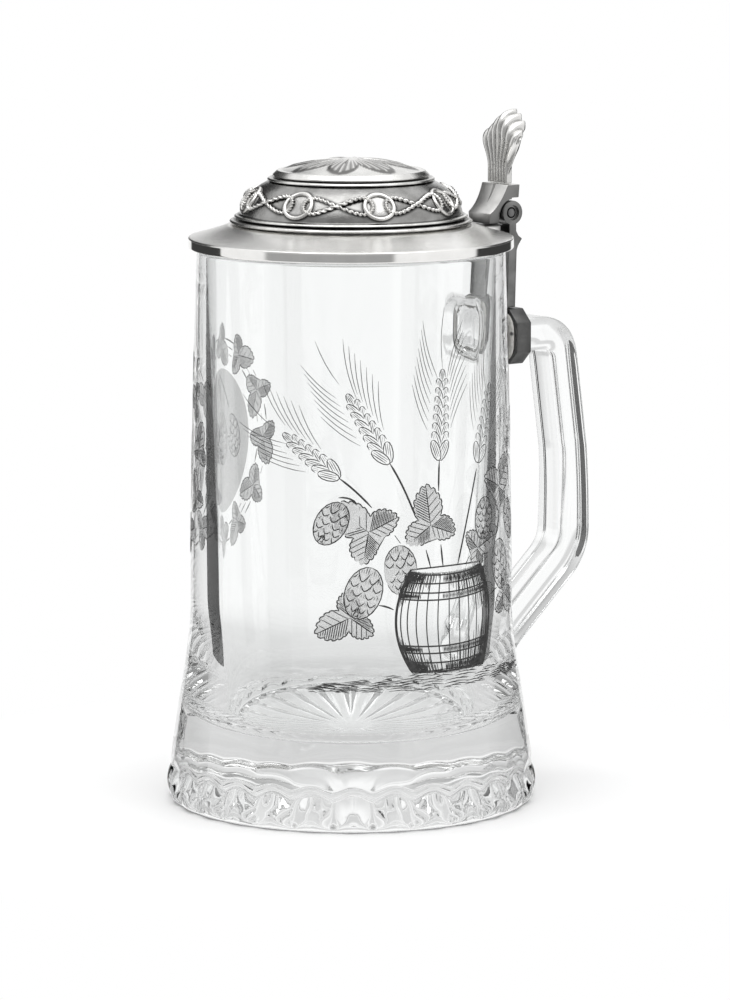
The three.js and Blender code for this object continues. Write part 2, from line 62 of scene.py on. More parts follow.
def trace(start, *runs):
    """Points along runs: a run is a point, a straight (end, count) or a bent (pull, end, count)."""
    points = [start]
    for run in runs:
        if not isinstance(run[0], tuple):
            points.append(run)
            continue
        first = points[-1]
        *pulls, end, count = run
        pull = pulls[0] if pulls else [(a + b) / 2 for a, b in zip(first, end)]
        for i in range(1, count + 1):
            t = i / count
            lines = zip(first, pull, end)
            points.append(tuple((1 - t) ** 2 * a + 2 * t * (1 - t) * b + t * t * c for a, b, c in lines))
    return points


def angles(count):
    """Angles evenly spaced once round."""
    return [2 * math.pi * k / count for k in range(count)]


def smooth(t):
    """An even rise from zero to one."""
    t = min(1, max(0, t))
    return t * t * (3 - 2 * t)


def face_out(shape):
    """Turns all faces outwards."""
    bmesh.ops.recalc_face_normals(shape, faces=shape.faces)


def revolve(shape, parts, steps):
    """Spins parts of a shape once round the upright axis."""
    bmesh.ops.spin(
        shape, geom=parts, cent=(0, 0, 0), axis=(0, 0, 1), angle=2 * math.pi, steps=steps, use_merge=True
    )


def turn(profile, steps):
    """A profile of radius and height spun round the mug's axis."""
    shape = bmesh.new()
    rail = [shape.verts.new((radius, 0, height)) for radius, height in profile]
    edges = [shape.edges.new(pair) for pair in zip(rail, rail[1:])]
    revolve(shape, rail + edges, steps)
    bmesh.ops.remove_doubles(shape, verts=shape.verts, dist=1e-4)
    face_out(shape)
    return shape


def loft(rings, closed=False):
    """A bar through rings of corners, with ends, or closed on itself."""
    shape = bmesh.new()
    loops = []
    for corners in rings:
        verts = [shape.verts.new(corner) for corner in corners]
        loops.append([shape.edges.new(pair) for pair in zip(verts, verts[1:] + verts[:1])])
    for near, far in zip(loops, loops[1:] + (loops[:1] if closed else [])):
        bmesh.ops.bridge_loops(shape, edges=near + far)
    for end in () if closed else (loops[0], loops[-1]):
        bmesh.ops.edgeloop_fill(shape, edges=end)
    face_out(shape)
    return shape


def rotate(shape, angle, axis):
    """Turns a shape about an axis through the origin."""
    bmesh.ops.rotate(shape, cent=(0, 0, 0), matrix=Matrix.Rotation(angle, 3, axis), verts=shape.verts)


def enter(name, data):
    """A new object in the scene."""
    made = bpy.data.objects.new(name, data)
    bpy.context.scene.collection.objects.link(made)
    return made


def place(shape, name):
    """The shape as an object in metres, with smooth faces."""
    bmesh.ops.scale(shape, vec=(0.001, 0.001, 0.001), verts=shape.verts)
    for face in shape.faces:
        face.smooth = True
    mesh = bpy.data.meshes.new(name)
    shape.to_mesh(mesh)
    shape.free()
    return enter(name, mesh)


def evaluated(made):
    """A mesh of an object as its modifiers or its curve make it."""
    return bpy.data.meshes.new_from_object(made.evaluated_get(bpy.context.evaluated_depsgraph_get()))


def join(base, tool, operation):
    """Joins a tool into a base, or cuts it out, and leaves the base with the result."""
    change = base.modifiers.new("change", "BOOLEAN")
    change.operation = operation
    change.object = tool
    change.solver = "EXACT"
    result = evaluated(base)
    base.modifiers.clear()
    base.data = result
    bpy.data.objects.remove(tool)


def feed(tree, node, inputs):
    """Sets a node's inputs to values, or wires them to sockets or to the first outputs of nodes."""
    for name, value in inputs.items():
        if isinstance(value, bpy.types.Node):
            value = next(socket for socket in value.outputs if socket.enabled)
        if isinstance(value, bpy.types.NodeSocket):
            tree.links.new(value, node.inputs[name])
        else:
            node.inputs[name].default_value = value


def add(tree, kind, inputs=(), **settings):
    """A new node of a kind, with its settings made before its inputs are fed."""
    node = tree.nodes.new("ShaderNode" + kind)
    for name, value in settings.items():
        setattr(node, name, value)
    feed(tree, node, dict(inputs))
    return node


def spots_on(tree):
    """The places on an object that its textures are laid out by."""
    return add(tree, "TexCoord").outputs["Object"]


def surface(name, values):
    """A new material, its nodes, and its shader with values on the shader's own sockets."""
    made = bpy.data.materials.new(name)
    made.use_nodes = True
    shader = made.node_tree.nodes["Principled BSDF"]
    feed(made.node_tree, shader, values)
    return made, made.node_tree, shader


def fit(made, material, body, slot, *replaced):
    """Gives a piece its finish and ties it to the CAD model."""
    made.data.materials.clear()
    made.data.materials.append(material)
    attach(made, body)
    if replaced:
        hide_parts(*replaced)


body_profile = trace(
    (0, 0), (STAR_HUB, 0), ((42.4, 0), 12), ((STAR_REACH, 0), 3), (48, 0), (49.5, 0),
    ((53.08, 0), (53.08, 5), 8), ((53.08, 7.75), (51.2, 10.5), 7), (51.3, 10.9), (51.9, 11.3),
)
for i in range(1, 27):
    t = i / 26
    radius = (1 - t) ** 3 * 51.9 + 3 * t * (1 - t) ** 2 * 50.3 + (3 * t * t * (1 - t) + t**3) * 46
    height = (1 - t) ** 3 * 11.3 + 3 * t * (1 - t) ** 2 * 27.3 + 3 * t * t * (1 - t) * 44 + t**3 * 58
    body_profile.append((radius, height))
body_profile += trace((46, 58), ((46, 88), (43.81, 157.1), 24), (43.8, 157.5))[1:]
outside = [spot for spot in body_profile if spot[1] > 11]
body_profile += trace(
    (43.8, 157.5), ((43.8, 158.3), (42.6, 158.3), 4), ((41.4, 158.3), (41.4, 157.5), 4), (41.39, 157.1),
    ((36.91, 29.3), 20), (36.9, 29), ((36.9, 21), (26, 21), 14), ((0, 21), 6),
)[1:]
shape = turn(body_profile, BODY_STEPS)
for vert in shape.verts:
    radius = math.hypot(vert.co.x, vert.co.y)
    angle = math.atan2(vert.co.y, vert.co.x)
    height = vert.co.z
    if height < 1e-3 and STAR_HUB < radius < STAR_REACH:
        groove = abs(math.sin(STAR_RAYS * angle / 2))
        vert.co.z = STAR_DEPTH * groove * min((radius - STAR_HUB) / 36, (STAR_REACH - radius) / 4.2)
    elif 1e-3 < height < FLARE_TOP and radius > 44:
        bulge = (0.5 + 0.5 * math.cos(LENSES * angle)) ** 0.7
        crest = LENS_CREST * (bulge - 0.75)
        if height < LENS_TOP + 0.05:
            depth = LENS_DEPTH * (1 - bulge) * math.sin(math.pi * min(1, height / LENS_TOP)) ** 0.7
            vert.co.x *= (radius - depth) / radius
            vert.co.y *= (radius - depth) / radius
            vert.co.z = height * (1 + crest / LENS_TOP)
        else:
            vert.co.z = height + crest * (1 - (height - LENS_TOP) / (FLARE_TOP - LENS_TOP)) ** 2
rotate(shape, LENS_TURN, "Z")
glass = place(shape, "mug_glass")

arm = trace(
    (42.6, ARM_HEIGHT), ((64.2, ARM_HEIGHT), ARM_STEPS), ((71, ARM_HEIGHT), (71.93, 123.26), 18),
    ((74.1, 107.5), (75.7, 96), 16), ((76.5, 87), (76.16, 72.8), 16), ((76.3, 66), (71.36, 61.33), 18),
    ((43.6, 35.13), 18),
)
rings = []
for i, spot in enumerate(arm):
    before = Vector(arm[max(0, i - 1)])
    after = Vector(arm[min(len(arm) - 1, i + 1)])
    run = (after - before).normalized()
    lift = Vector((-run.y, 0, run.x))
    if run.y == 0 and i <= ARM_STEPS:
        spread = ARM_SPREAD * max(0, 1 - max(0, spot[0] - 43.8) / 7) ** 2
    elif spot[0] < FOOT_ROOT[0]:
        spread = FOOT_SPREAD
    elif spot[1] < 60:
        spread = FOOT_SPREAD * max(0, 1 - math.dist(spot, FOOT_ROOT) / 9) ** 2
    else:
        spread = 0
    lower = 0.6 * smooth((96 - spot[1]) / 30)
    keen = 0.6 * smooth((131 - spot[1]) / 12)
    flat_width, flat_depth, round_off = 3.98 + keen, 1.85 + keen + lower, 3 - keen + spread
    corners = []
    for quarter, (side, top) in enumerate(((1, 1), (-1, 1), (-1, -1), (1, -1))):
        for k in range(-1, 10):
            a = math.pi / 2 * (quarter + min(8, max(0, k)) / 8)
            edge = EDGE_MARGIN * (min(0, k) + max(0, k - 8))
            width = side * flat_width + round_off * math.cos(a) - edge * math.sin(a)
            depth = top * flat_depth + round_off * math.sin(a) + edge * math.cos(a)
            corners.append(Vector((spot[0], width, spot[1])) + lift * depth)
    rings.append(corners)
join(glass, place(loft(rings), "handle"), "UNION")

clear_glass, tree, shader = surface(
    "clear_glass",
    {"Base Color": (0.985, 0.992, 0.99, 1), "Transmission Weight": 1, "IOR": 1.52, "Roughness": 0},
)
stretch = add(tree, "Mapping", {"Vector": spots_on(tree), "Scale": (1, 1, 0.25)})
ripple = add(tree, "TexNoise", {"Vector": stretch, "Scale": 60, "Detail": 1})
feed(tree, shader, {"Normal": add(tree, "Bump", {"Height": ripple, "Strength": 0.003, "Distance": 0.001})})
fit(glass, clear_glass, "mug", "glass", "mug_body", "mug_handle")

# The collar's bedding: a ring of setting plaster pressed between the pewter collar and the glass arm.
# It squeezes out towards the mug as a pale lip with a few air holes.
CORNER_STEPS = 6


def arm_ring(reach, width, height, corner):
    """Corners of a rounded box round the handle's upper arm."""
    points = []
    for side_y, side_z, start in ((1, 1, 0), (-1, 1, 90), (-1, -1, 180), (1, -1, 270)):
        for k in range(CORNER_STEPS + 1):
            a = math.radians(start + 90 * k / CORNER_STEPS)
            y = side_y * (width - corner) + corner * math.cos(a)
            points.append((reach, y, ARM_HEIGHT + side_z * (height - corner) + corner * math.sin(a)))
    return points


def ramp(tree, share, stops):
    """A ramp through (position, colour) stops, read at a share."""
    made = add(tree, "ValToRGB", {"Fac": share})
    elements = made.color_ramp.elements
    for i, (position, colour) in enumerate(stops):
        mark = elements[i] if i < 2 else elements.new(position)
        mark.position = position
        mark.color = (*colour, 1)
    return made


def noise(tree, scale, detail):
    """Cloudy noise laid out on an object."""
    return add(tree, "TexNoise", {"Vector": spots_on(tree), "Scale": scale, "Detail": detail})


def span(tree, value, low, high, start=0, end=1, **settings):
    """A value from low to high, spread from start to end."""
    made = add(tree, "MapRange", **settings)
    feed(tree, made, {"Value": value, "From Min": low, "From Max": high, "To Min": start, "To Max": end})
    return made


def blend(tree, share, first, second):
    """A mix of two colours by a share."""
    mixed = add(tree, "Mix", data_type="RGBA")
    feed(tree, mixed, {"Factor": share, "A": first, "B": second})
    return mixed


sections = (
    (56.3, 7.3, 5.2, 3.3), (56.3, 8.1, 6.0, 4.1), (51.0, 8.1, 6.0, 4.1), (50.9, 9.2, 7.1, 5.0),
    (50.5, 9.0, 6.9, 4.9), (50.2, 8.3, 6.2, 4.3), (50.1, 7.3, 5.2, 3.3),
)
bedding = place(loft([arm_ring(*section) for section in sections], closed=True), "bedding_ring")
plaster, tree, shader = surface("setting_plaster", {"Roughness": 0.85})
grain = noise(tree, 900, 4)
tones = ramp(tree, grain, [(0.3, (0.5, 0.49, 0.46)), (0.6, (0.72, 0.71, 0.68))])
# The air holes are not cut in the shape: dark dots in the colour stand for them, painted shade in the holes.
pits = add(tree, "TexVoronoi", {"Vector": spots_on(tree), "Scale": 260})
dotted = blend(tree, span(tree, pits, 0.1, 0.2), (0.1, 0.1, 0.1, 1), tones)
press = add(tree, "Bump", {"Height": grain, "Strength": 0.5, "Distance": 0.0002})
feed(tree, shader, {"Base Color": dotted, "Normal": press})
fit(bedding, plaster, "mug", "bedding", "collar_bedding")

# The collar: two cast pewter halves soldered round the handle's upper arm. Its corners are filed to flats,
# and like the strap and the hinge it is left dark.
COLLAR_REACH = 51.1
COLLAR_DEPTH = 5.4
COLLAR_FLATS = (
    (10.2, 4.3), (6.2, 8.1), (-6.2, 8.1), (-10.2, 4.3), (-10.2, -4.3), (-6.2, -8.1), (6.2, -8.1), (10.2, -4.3)
)


def pewter(name, dark, light, least_rough, most_rough, grain_scale, grain_depth):
    """Cast pewter with a patina that runs from dark to light, uneven gloss and a fine grain."""
    made, tree, shader = surface(name, {"Metallic": 1})
    tones = ramp(tree, noise(tree, 220, 5), [(0.32, dark), (0.68, light)])
    grain = noise(tree, grain_scale, 3)
    gloss = span(tree, grain, 0, 1, least_rough, most_rough)
    press = add(tree, "Bump", {"Height": grain, "Strength": 0.4, "Distance": grain_depth})
    feed(tree, shader, {"Base Color": tones, "Roughness": gloss, "Normal": press})
    return made


def crisp(made, degrees=35):
    """Keeps edges that turn by more than an angle hard, and the rest smooth."""
    made.data.set_sharp_from_angle(angle=math.radians(degrees))
    return made


def push(shape, faces, way):
    """Pulls faces out along a way, with walls behind them."""
    pulled = bmesh.ops.extrude_face_region(shape, geom=faces)["geom"]
    corners = [part for part in pulled if isinstance(part, bmesh.types.BMVert)]
    bmesh.ops.translate(shape, vec=way, verts=corners)


def prism(corners, way):
    """A flat outline pulled out along a way."""
    shape = bmesh.new()
    push(shape, [shape.faces.new([shape.verts.new(corner) for corner in corners])], way)
    return shape


def shift(shape, way):
    """Moves a shape."""
    bmesh.ops.translate(shape, vec=way, verts=shape.verts)


def soften(shape, edges, offset, segments, clamp=False):
    """Rounds edges off."""
    bmesh.ops.bevel(
        shape, geom=edges, offset=offset, segments=segments, profile=0.5, affect="EDGES", material=-1,
        clamp_overlap=clamp,
    )


dark_pewter = pewter("dark_pewter", (0.07, 0.07, 0.07), (0.13, 0.13, 0.128), 0.3, 0.48, 2500, 0.00006)
for name, side in (("collar_saddle", 1), ("collar_keeper", -1)):
    shape = prism([(COLLAR_REACH, y, ARM_HEIGHT + z) for y, z in COLLAR_FLATS], (COLLAR_DEPTH, 0, 0))
    face_out(shape)
    soften(shape, shape.edges, 0.45, 3)
    half = place(shape, name)
    shape = loft([arm_ring(reach, 8.4, 6.3, 4.4) for reach in (48, 59)])
    join(half, place(shape, "bore"), "DIFFERENCE")
    shape = bmesh.new()
    bmesh.ops.create_cube(shape, size=40)
    shift(shape, (53.8, 0, ARM_HEIGHT - side * 19.99))
    join(half, place(shape, "other_half"), "DIFFERENCE")
    fit(crisp(half), dark_pewter, "mug", "dark_pewter", name)

# The strap: a flat pewter arm soldered on the collar. It narrows to a neck above a small spur and ends in
# the two outer knuckles, bored for the pin and sunk round its ends.
HINGE_REACH = 52.5
HINGE_HEIGHT = 165.9


def plate(outline, low_width, high_width, low, high, bevel):
    """A side view of reach and height, pushed out to a width that changes with the height."""
    shape = prism([(reach, -0.5, height) for reach, height in outline], (0, 1, 0))
    for vert in shape.verts:
        share = min(1, max(0, (vert.co.z - low) / (high - low)))
        vert.co.y *= low_width + (high_width - low_width) * share
    face_out(shape)
    soften(shape, shape.edges, bevel, 2, clamp=True)
    return shape


def knuckle(radius, near, far, bevel, name):
    """A bar round the hinge's axis between two places across."""
    shape = bmesh.new()
    bmesh.ops.create_cone(shape, cap_ends=True, segments=48, radius1=radius, radius2=radius, depth=far - near)
    rotate(shape, math.pi / 2, "X")
    shift(shape, (HINGE_REACH, (near + far) / 2, HINGE_HEIGHT))
    if bevel:
        rims = [edge for edge in shape.edges if abs(edge.verts[0].co.y - edge.verts[1].co.y) < 1e-6]
        soften(shape, rims, bevel, 2)
    return place(shape, name)


strap_side = [
    (51.1, 138.4), (54.1, 138.4), (54.1, 155), (54.6, 156.4), (55.9, 158.3), (54.6, 159.2), (53.8, 160.6),
    (53.7, HINGE_HEIGHT), (51.3, HINGE_HEIGHT), (51.3, 161.3), (51.2, 158.4),
]
strap = place(plate(strap_side, 11, 12.6, 138.4, 158.4, 0.25), "hinge_strap")
join(strap, knuckle(3.5, -6.3, 6.3, 0.35, "knuckle"), "UNION")
for radius, near, far in ((3.9, -2.7, 2.7), (2.2, -8, -5.4), (2.2, 5.4, 8), (1.6, -8, 8)):
    join(strap, knuckle(radius, near, far, 0, "cut"), "DIFFERENCE")
strap_pewter = pewter("strap_pewter", (0.14, 0.14, 0.138), (0.24, 0.24, 0.236), 0.28, 0.44, 2500, 0.00006)
fit(crisp(strap), strap_pewter, "mug", "dark_pewter", "strap")

# The hinge pin: a length of steel wire through the three knuckles. Its ends are peened over in the sinks, so
# that it can't work its way out.
steel = pewter("pin_steel", (0.1, 0.1, 0.1), (0.2, 0.2, 0.2), 0.3, 0.5, 4000, 0.00004)
fit(crisp(knuckle(1.3, -5.7, 5.7, 0.4, "pin")), steel, "mug", "dark_pewter", "hinge_pin")

# The lid's flange: a turned pewter disc that rests on the rim, with a ridge that drops inside the mouth and
# a pad for the hinge block. It is left with the fine rings of the lathe, and its edge is polished.
def opened(mesh):
    """A mesh as a shape to work on."""
    shape = bmesh.new()
    shape.from_mesh(mesh)
    return shape


def darken_by_stain_and_shade(made, dark):
    """Darkens a finish towards a colour where a piece's marks of stain and of painted shade are written."""
    tree = made.node_tree
    stain_and_shade = add(tree, "Attribute", attribute_name="stain_and_shade").outputs["Fac"]
    darkened = blend(tree, stain_and_shade, tree.nodes["Color Ramp"], (*dark, 1))
    feed(tree, tree.nodes["Principled BSDF"], {"Base Color": darkened})


flange_profile = trace(
    (29, 163.3), (38.4, 158.6), (38.4, 157.3), ((38.4, 157), (38.7, 157), 3), (40.5, 157),
    ((40.8, 157), (40.8, 157.3), 3), (40.8, 158.6), (45.75, 158.6), ((46.15, 158.6), (46.15, 159), 4),
    ((46.15, 161.15), 8), ((46.15, 161.55), (45.7, 161.62), 4), ((40, 163), (34.2, 165.3), 10),
    (29, 165.3), (29, 163.3),
)
flange = place(turn(flange_profile, 192), "flange")
shape = bmesh.new()
bmesh.ops.create_cube(shape, size=1)
bmesh.ops.scale(shape, vec=(9.3, 12, 3.5), verts=shape.verts)
shift(shape, (43.95, 0, 160.85))
soften(shape, shape.edges, 0.5, 3)
join(flange, place(shape, "pad"), "UNION")
shape = opened(flange.data)
stain_and_shade = shape.verts.layers.float.new("stain_and_shade")
polish = shape.verts.layers.float.new("polish")
# The pad's top round the hinge block's foot and its outer end are darkened: painted shade of the block on the
# pad.
for vert in shape.verts:
    x, y, z = vert.co * 1000
    vert[stain_and_shade] = 0.8 if x > 36 and abs(y) < 6.1 and (z > 162.2 or x > 46.5) else 0
    vert[polish] = 1 if math.hypot(x, y) > 46 and z < 161.3 else 0
shape.to_mesh(flange.data)
shape.free()
turned_pewter = pewter("turned_pewter", (0.82, 0.815, 0.8), (0.88, 0.875, 0.86), 0.2, 0.3, 3000, 0.00003)
darken_by_stain_and_shade(turned_pewter, (0.1, 0.1, 0.1))
tree = turned_pewter.node_tree
level = add(tree, "VectorMath", {0: spots_on(tree), 1: (1, 1, 0)}, operation="MULTIPLY")
reach = add(tree, "VectorMath", {0: level}, operation="LENGTH")
lathe = add(tree, "TexNoise", {"W": reach, "Scale": 5000, "Detail": 4}, noise_dimensions="1D")
press = add(tree, "Bump", {"Height": lathe, "Strength": 0.35, "Distance": 0.00003})
rim = add(tree, "Attribute", attribute_name="polish").outputs["Fac"]
buffed = add(tree, "Mix", {"Factor": rim, "A": tree.nodes["Map Range"], "B": 0.07})
feed(tree, tree.nodes["Principled BSDF"], {"Normal": press, "Roughness": buffed})
fit(crisp(flange), turned_pewter, "lid", "bright_pewter", "lid_flange")

# The lid's dome: a hollow pewter casting with two beads at its foot and a swelling band, stained dark and
# rubbed back so that the beads stay bright. The deck on top carries the medallion.
BAND_FOOT = (31.6, 168.3)
BAND_PULL = (30.9, 173.9)
BAND_TOP = (23.6, 177.4)
BAND_GIRTH = 29.8
BAND_RISE = 12.4
BAND_MIDDLE = 0.43
RINGS = 8
RING_RADIUS = 4.15
FIRST_RING = math.radians(-109.5)
ROPE_POINTS = 224
dome_profile = trace(
    (0, 176.8), (21.8, 176.8), ((29.1, 172.1), (29.8, 168.3), 8), (29.8, 165.6), (33.3, 165.6),
    ((35.3, 165.95), (33.8, 166.65), 8), (32.7, 166.7), (32.4, 167.1), ((33.8, 167.45), (32.5, 168.0), 6),
    (31.8, 168.05), BAND_FOOT, (BAND_PULL, BAND_TOP, 44), (23.3, 177.35), (23.1, 177.5),
    ((24.3, 177.9), (23.3, 178.5), 6), (22.5, 178.45), (22.2, 178.6), (0, 178.6),
)
rope_run = []
for a in angles(ROPE_POINTS):
    along = 11.7 + 9.8 * math.copysign(abs(math.sin(a)) ** 0.9, math.sin(a))
    rope_run.append((along, 2.6 * math.sin(2 * a), 0.26 + 0.2 * math.cos(a) + 0.12 * math.sin(2 * a)))


def beside_ornament(along, up):
    """How near a place on the band is to a ring or a rope, and whether it lies inside a ring."""
    pitch = 2 * math.pi * BAND_GIRTH / RINGS
    near = min(abs(math.hypot(along - start, up) - RING_RADIUS) for start in (0, pitch))
    for x, y, z in rope_run[::2]:
        for start in (0, -pitch):
            near = min(near, math.hypot(along - x - start, up - y))
    return near, min(math.hypot(along, up), math.hypot(along - pitch, up)) < RING_RADIUS


shape = turn(dome_profile, 384)
stain_and_shade = shape.verts.layers.float.new("stain_and_shade")
known = {}
for vert in shape.verts:
    radius = math.hypot(vert.co.x, vert.co.y)
    height = vert.co.z
    if radius > 23.5 and 168.1 < height < 177.3:
        turned = (math.atan2(vert.co.y, vert.co.x) - FIRST_RING) % (2 * math.pi / RINGS)
        share = (11.2 - math.sqrt(11.2**2 - 8.4 * (height - BAND_FOOT[1]))) / 4.2
        key = (round(turned, 4), round(share, 3))
        if key not in known:
            known[key] = beside_ornament(turned * BAND_GIRTH, (share - BAND_MIDDLE) * BAND_RISE)
        near, inside = known[key]
        vert[stain_and_shade] = (0.34 if inside else 0.56) + 0.44 * (1 - smooth((near - 0.6) / 0.9))
    elif 166.6 < height < 167.2 and radius < 32.8 or 168.0 < height < 168.1 or 177.3 < height < 177.55:
        vert[stain_and_shade] = 1
    elif radius < 22.6:
        vert[stain_and_shade] = 0.62
dome = crisp(place(shape, "dome"), 60)
stained = pewter("stained_pewter", (0.56, 0.555, 0.54), (0.86, 0.855, 0.84), 0.14, 0.27, 2600, 0.0001)
darken_by_stain_and_shade(stained, (0.03, 0.03, 0.03))
fit(dome, stained, "lid", "dark_pewter", "lid_dome")

# The ornament on the band: eight plain rings linked by twisted ropes that cross once between rings, cast in
# low relief with the dome and rubbed bright.
STRAND_POINTS = 14
ROPE_TWISTS = 19
relief = bmesh.new()


def on_band(spot, turned):
    """A flat place along, up and off the band, wrapped round the dome."""
    share = BAND_MIDDLE + spot.y / BAND_RISE
    parts = ((1 - share) ** 2, 2 * share * (1 - share), share**2)
    radius, height = (sum(p * c for p, c in zip(parts, cs)) for cs in zip(BAND_FOOT, BAND_PULL, BAND_TOP))
    slope = Vector((2 * (1 - share) * -0.7 + 2 * share * -7.3, 2 * (1 - share) * 5.6 + 2 * share * 3.5))
    slope.normalize()
    a = turned + spot.x / BAND_GIRTH
    reach = radius + slope.y * spot.z
    return Vector((reach * math.cos(a), reach * math.sin(a), height - slope.x * spot.z))


def poly(curve, points, cyclic=False):
    """A run of straight lines on a curve, as its points."""
    run = curve.splines.new("POLY")
    run.points.add(len(points) - 1)
    run.use_cyclic_u = cyclic
    for point, spot in zip(run.points, points):
        point.co = (*spot, 1)
    return run.points


def cast_on(part, a):
    """Wraps a flat part round the band, at an angle from the first ring, and adds it to the relief."""
    for vert in part.verts:
        vert.co = on_band(vert.co, FIRST_RING + a)
    face_out(part)
    held = bpy.data.meshes.new("part")
    part.to_mesh(held)
    part.free()
    relief.from_mesh(held)
    bpy.data.meshes.remove(held)


for a in angles(RINGS):
    ring = bmesh.new()
    bmesh.ops.create_circle(ring, segments=12, radius=0.64)
    rotate(ring, math.pi / 2, "X")
    shift(ring, (RING_RADIUS, 0, 0.1))
    revolve(ring, ring.verts[:] + ring.edges[:], 48)
    cast_on(ring, a)
strand = bpy.data.curves.new("strand", "CURVE")
strand.dimensions = "2D"
section = []
for a in angles(STRAND_POINTS):
    swell = 0.48 + 0.2 * math.cos(2 * a)
    section.append((swell * math.cos(a), swell * math.sin(a), 0))
poly(strand, section, cyclic=True)
strand_shape = enter("strand", strand)
rope = bpy.data.curves.new("rope", "CURVE")
rope.dimensions = "3D"
rope.bevel_mode = "OBJECT"
rope.bevel_object = strand_shape
for i, point in enumerate(poly(rope, rope_run, cyclic=True)):
    point.tilt = ROPE_TWISTS * 2 * math.pi * i / ROPE_POINTS
rope_shape = enter("rope", rope)
bpy.context.view_layer.update()
twisted = evaluated(rope_shape)
for a in angles(RINGS):
    link = opened(twisted)
    bmesh.ops.remove_doubles(link, verts=link.verts, dist=1e-4)
    cast_on(link, a)
bpy.data.objects.remove(rope_shape)
bpy.data.objects.remove(strand_shape)
bpy.data.meshes.remove(twisted)
ornament = place(relief, "band_ornament")
rubbed = pewter("rubbed_pewter", (0.6, 0.595, 0.58), (0.84, 0.83, 0.81), 0.2, 0.36, 3000, 0.00005)
fit(ornament, rubbed, "lid", "bright_pewter")

# The medallion: a bevelled pewter disc let in on the deck. A plain rosette of leaves stands on its crown in
# low relief, stained in the hollows.
medal_profile = trace(
    (0, 178.9), (22.05, 178.9), (22.2, 179.0), (22.2, 179.25), ((22.15, 179.4), (22.0, 179.5), 3),
    ((21.05, 180.4), 4), ((20.85, 180.6), (20.5, 180.6), 3), (20.1, 180.5), (19.7, 180.55),
    ((10, 183.5), (0, 183.5), 44),
)
shape = turn(medal_profile, 192)
stain_and_shade = shape.verts.layers.float.new("stain_and_shade")
for vert in shape.verts:
    radius = math.hypot(vert.co.x, vert.co.y)
    angle = math.atan2(vert.co.y, vert.co.x)
    if vert.co.z < 180 or radius > 19.6:
        continue
    petal = abs(math.cos(4 * angle))
    edge = 9.5 + 9.0 * petal**0.8
    inner = max(0, 1 - abs(radius - edge * 0.55) / (edge * 0.52))
    leaf = min(1, inner * 3.0) * (1 - 0.35 * abs(math.sin(28 * angle)) * min(1, radius / 9))
    vein = max(0, 1 - abs(math.sin(4 * angle)) * radius / 0.9) if petal > 0.5 else 0
    boss = max(0, 1 - (radius / 4.2) ** 2) ** 0.5
    rise = max(0.38 * leaf + 0.1 * vein * min(1, inner * 3), 0.45 * boss)
    vert.co.z += rise
    slope = min(1, rise / 0.34)
    vert[stain_and_shade] = min(1, 5 * slope * (1 - slope)) if radius > 4.4 else 0
medallion = crisp(place(shape, "medallion"), 60)
medal_pewter = pewter("medal_pewter", (0.68, 0.675, 0.66), (0.82, 0.815, 0.8), 0.18, 0.3, 3000, 0.00004)
darken_by_stain_and_shade(medal_pewter, (0.14, 0.138, 0.134))
fit(medallion, medal_pewter, "lid", "bright_pewter", "lid_medallion")

# The hinge block: a pewter casting soldered on the flange's pad. Its front sweeps up to a slab over the
# knuckles, with a low ridge down the middle, and the middle knuckle is cast below the slab.
block_side = trace(
    (45, 162.9), (48.6, 162.9), (48.6, HINGE_HEIGHT), (HINGE_REACH, HINGE_HEIGHT), (HINGE_REACH, 170.2),
    (54.9, 170.2), (54.9, 174), (50.6, 174), ((48.4, 168.1), (45, 165.9), 10),
)
block = place(plate(block_side, 10, 12.6, 162.9, 174, 0.22), "block")
join(block, knuckle(3.9, 2.3, 9, 0, "room"), "DIFFERENCE")
join(block, knuckle(3.9, -9, -2.3, 0, "room"), "DIFFERENCE")
join(block, knuckle(3.5, -2.3, 2.3, 0.25, "middle"), "UNION")
join(block, knuckle(1.6, -8, 8, 0, "bore"), "DIFFERENCE")
ridge = trace((50.55, 173.9), ((48.9, 169.6), (47, 167.3), 8))
rings = []
for i, (reach, height) in enumerate(ridge):
    thin = 1 - 0.9 * i / (len(ridge) - 1)
    crown = (reach - 0.5 * thin, 0, height + 0.1 * thin)
    rings.append([(reach + 0.6, -1.1 * thin, height), crown, (reach + 0.6, 1.1 * thin, height)])
join(block, place(loft(rings), "ridge"), "UNION")
crisp(block)
shape = opened(block.data)
bmesh.ops.split_edges(shape, edges=[edge for edge in shape.edges if not edge.smooth])
shape.normal_update()
stain_and_shade = shape.verts.layers.float.new("stain_and_shade")
# Faces turned to the sides or outwards are darkened as painted shade, and the block's foot, where it meets
# the pad, as a painted shadow.
for vert in shape.verts:
    aside = 0.75 * smooth((max(abs(vert.normal.y), vert.normal.x) - 0.5) / 0.4)
    vert[stain_and_shade] = max(aside, 0.85 * smooth(165.6 - vert.co.z * 1000))
shape.to_mesh(block.data)
shape.free()
satin = pewter("satin_pewter", (0.58, 0.577, 0.565), (0.76, 0.756, 0.74), 0.26, 0.42, 2500, 0.00005)
darken_by_stain_and_shade(satin, (0.06, 0.06, 0.06))
fit(block, satin, "lid", "dark_pewter", "hinge_block")

# The thumb lift: a cast pewter leaf soldered on the slab. Its seven flutes fan out from the stem and roll
# over outwards, the middle one highest, and the back is filled. The hollows hold a dark stain.
LEAF_SLICES = 92
LEAF_FOOT = 174.25
LEAF_FRONT = 52.1
LEAF_GRAIN = 0.00015
HOLLOW_GAIN = 90000
BACK_LINE = (
    (53.3, LEAF_FOOT), (53.4, 179.5), (54.0, 182.4), (55.2, 185),
    (56.1, 187), (56.6, 188.6), (57.1, 191), (57.5, 193.5),
)


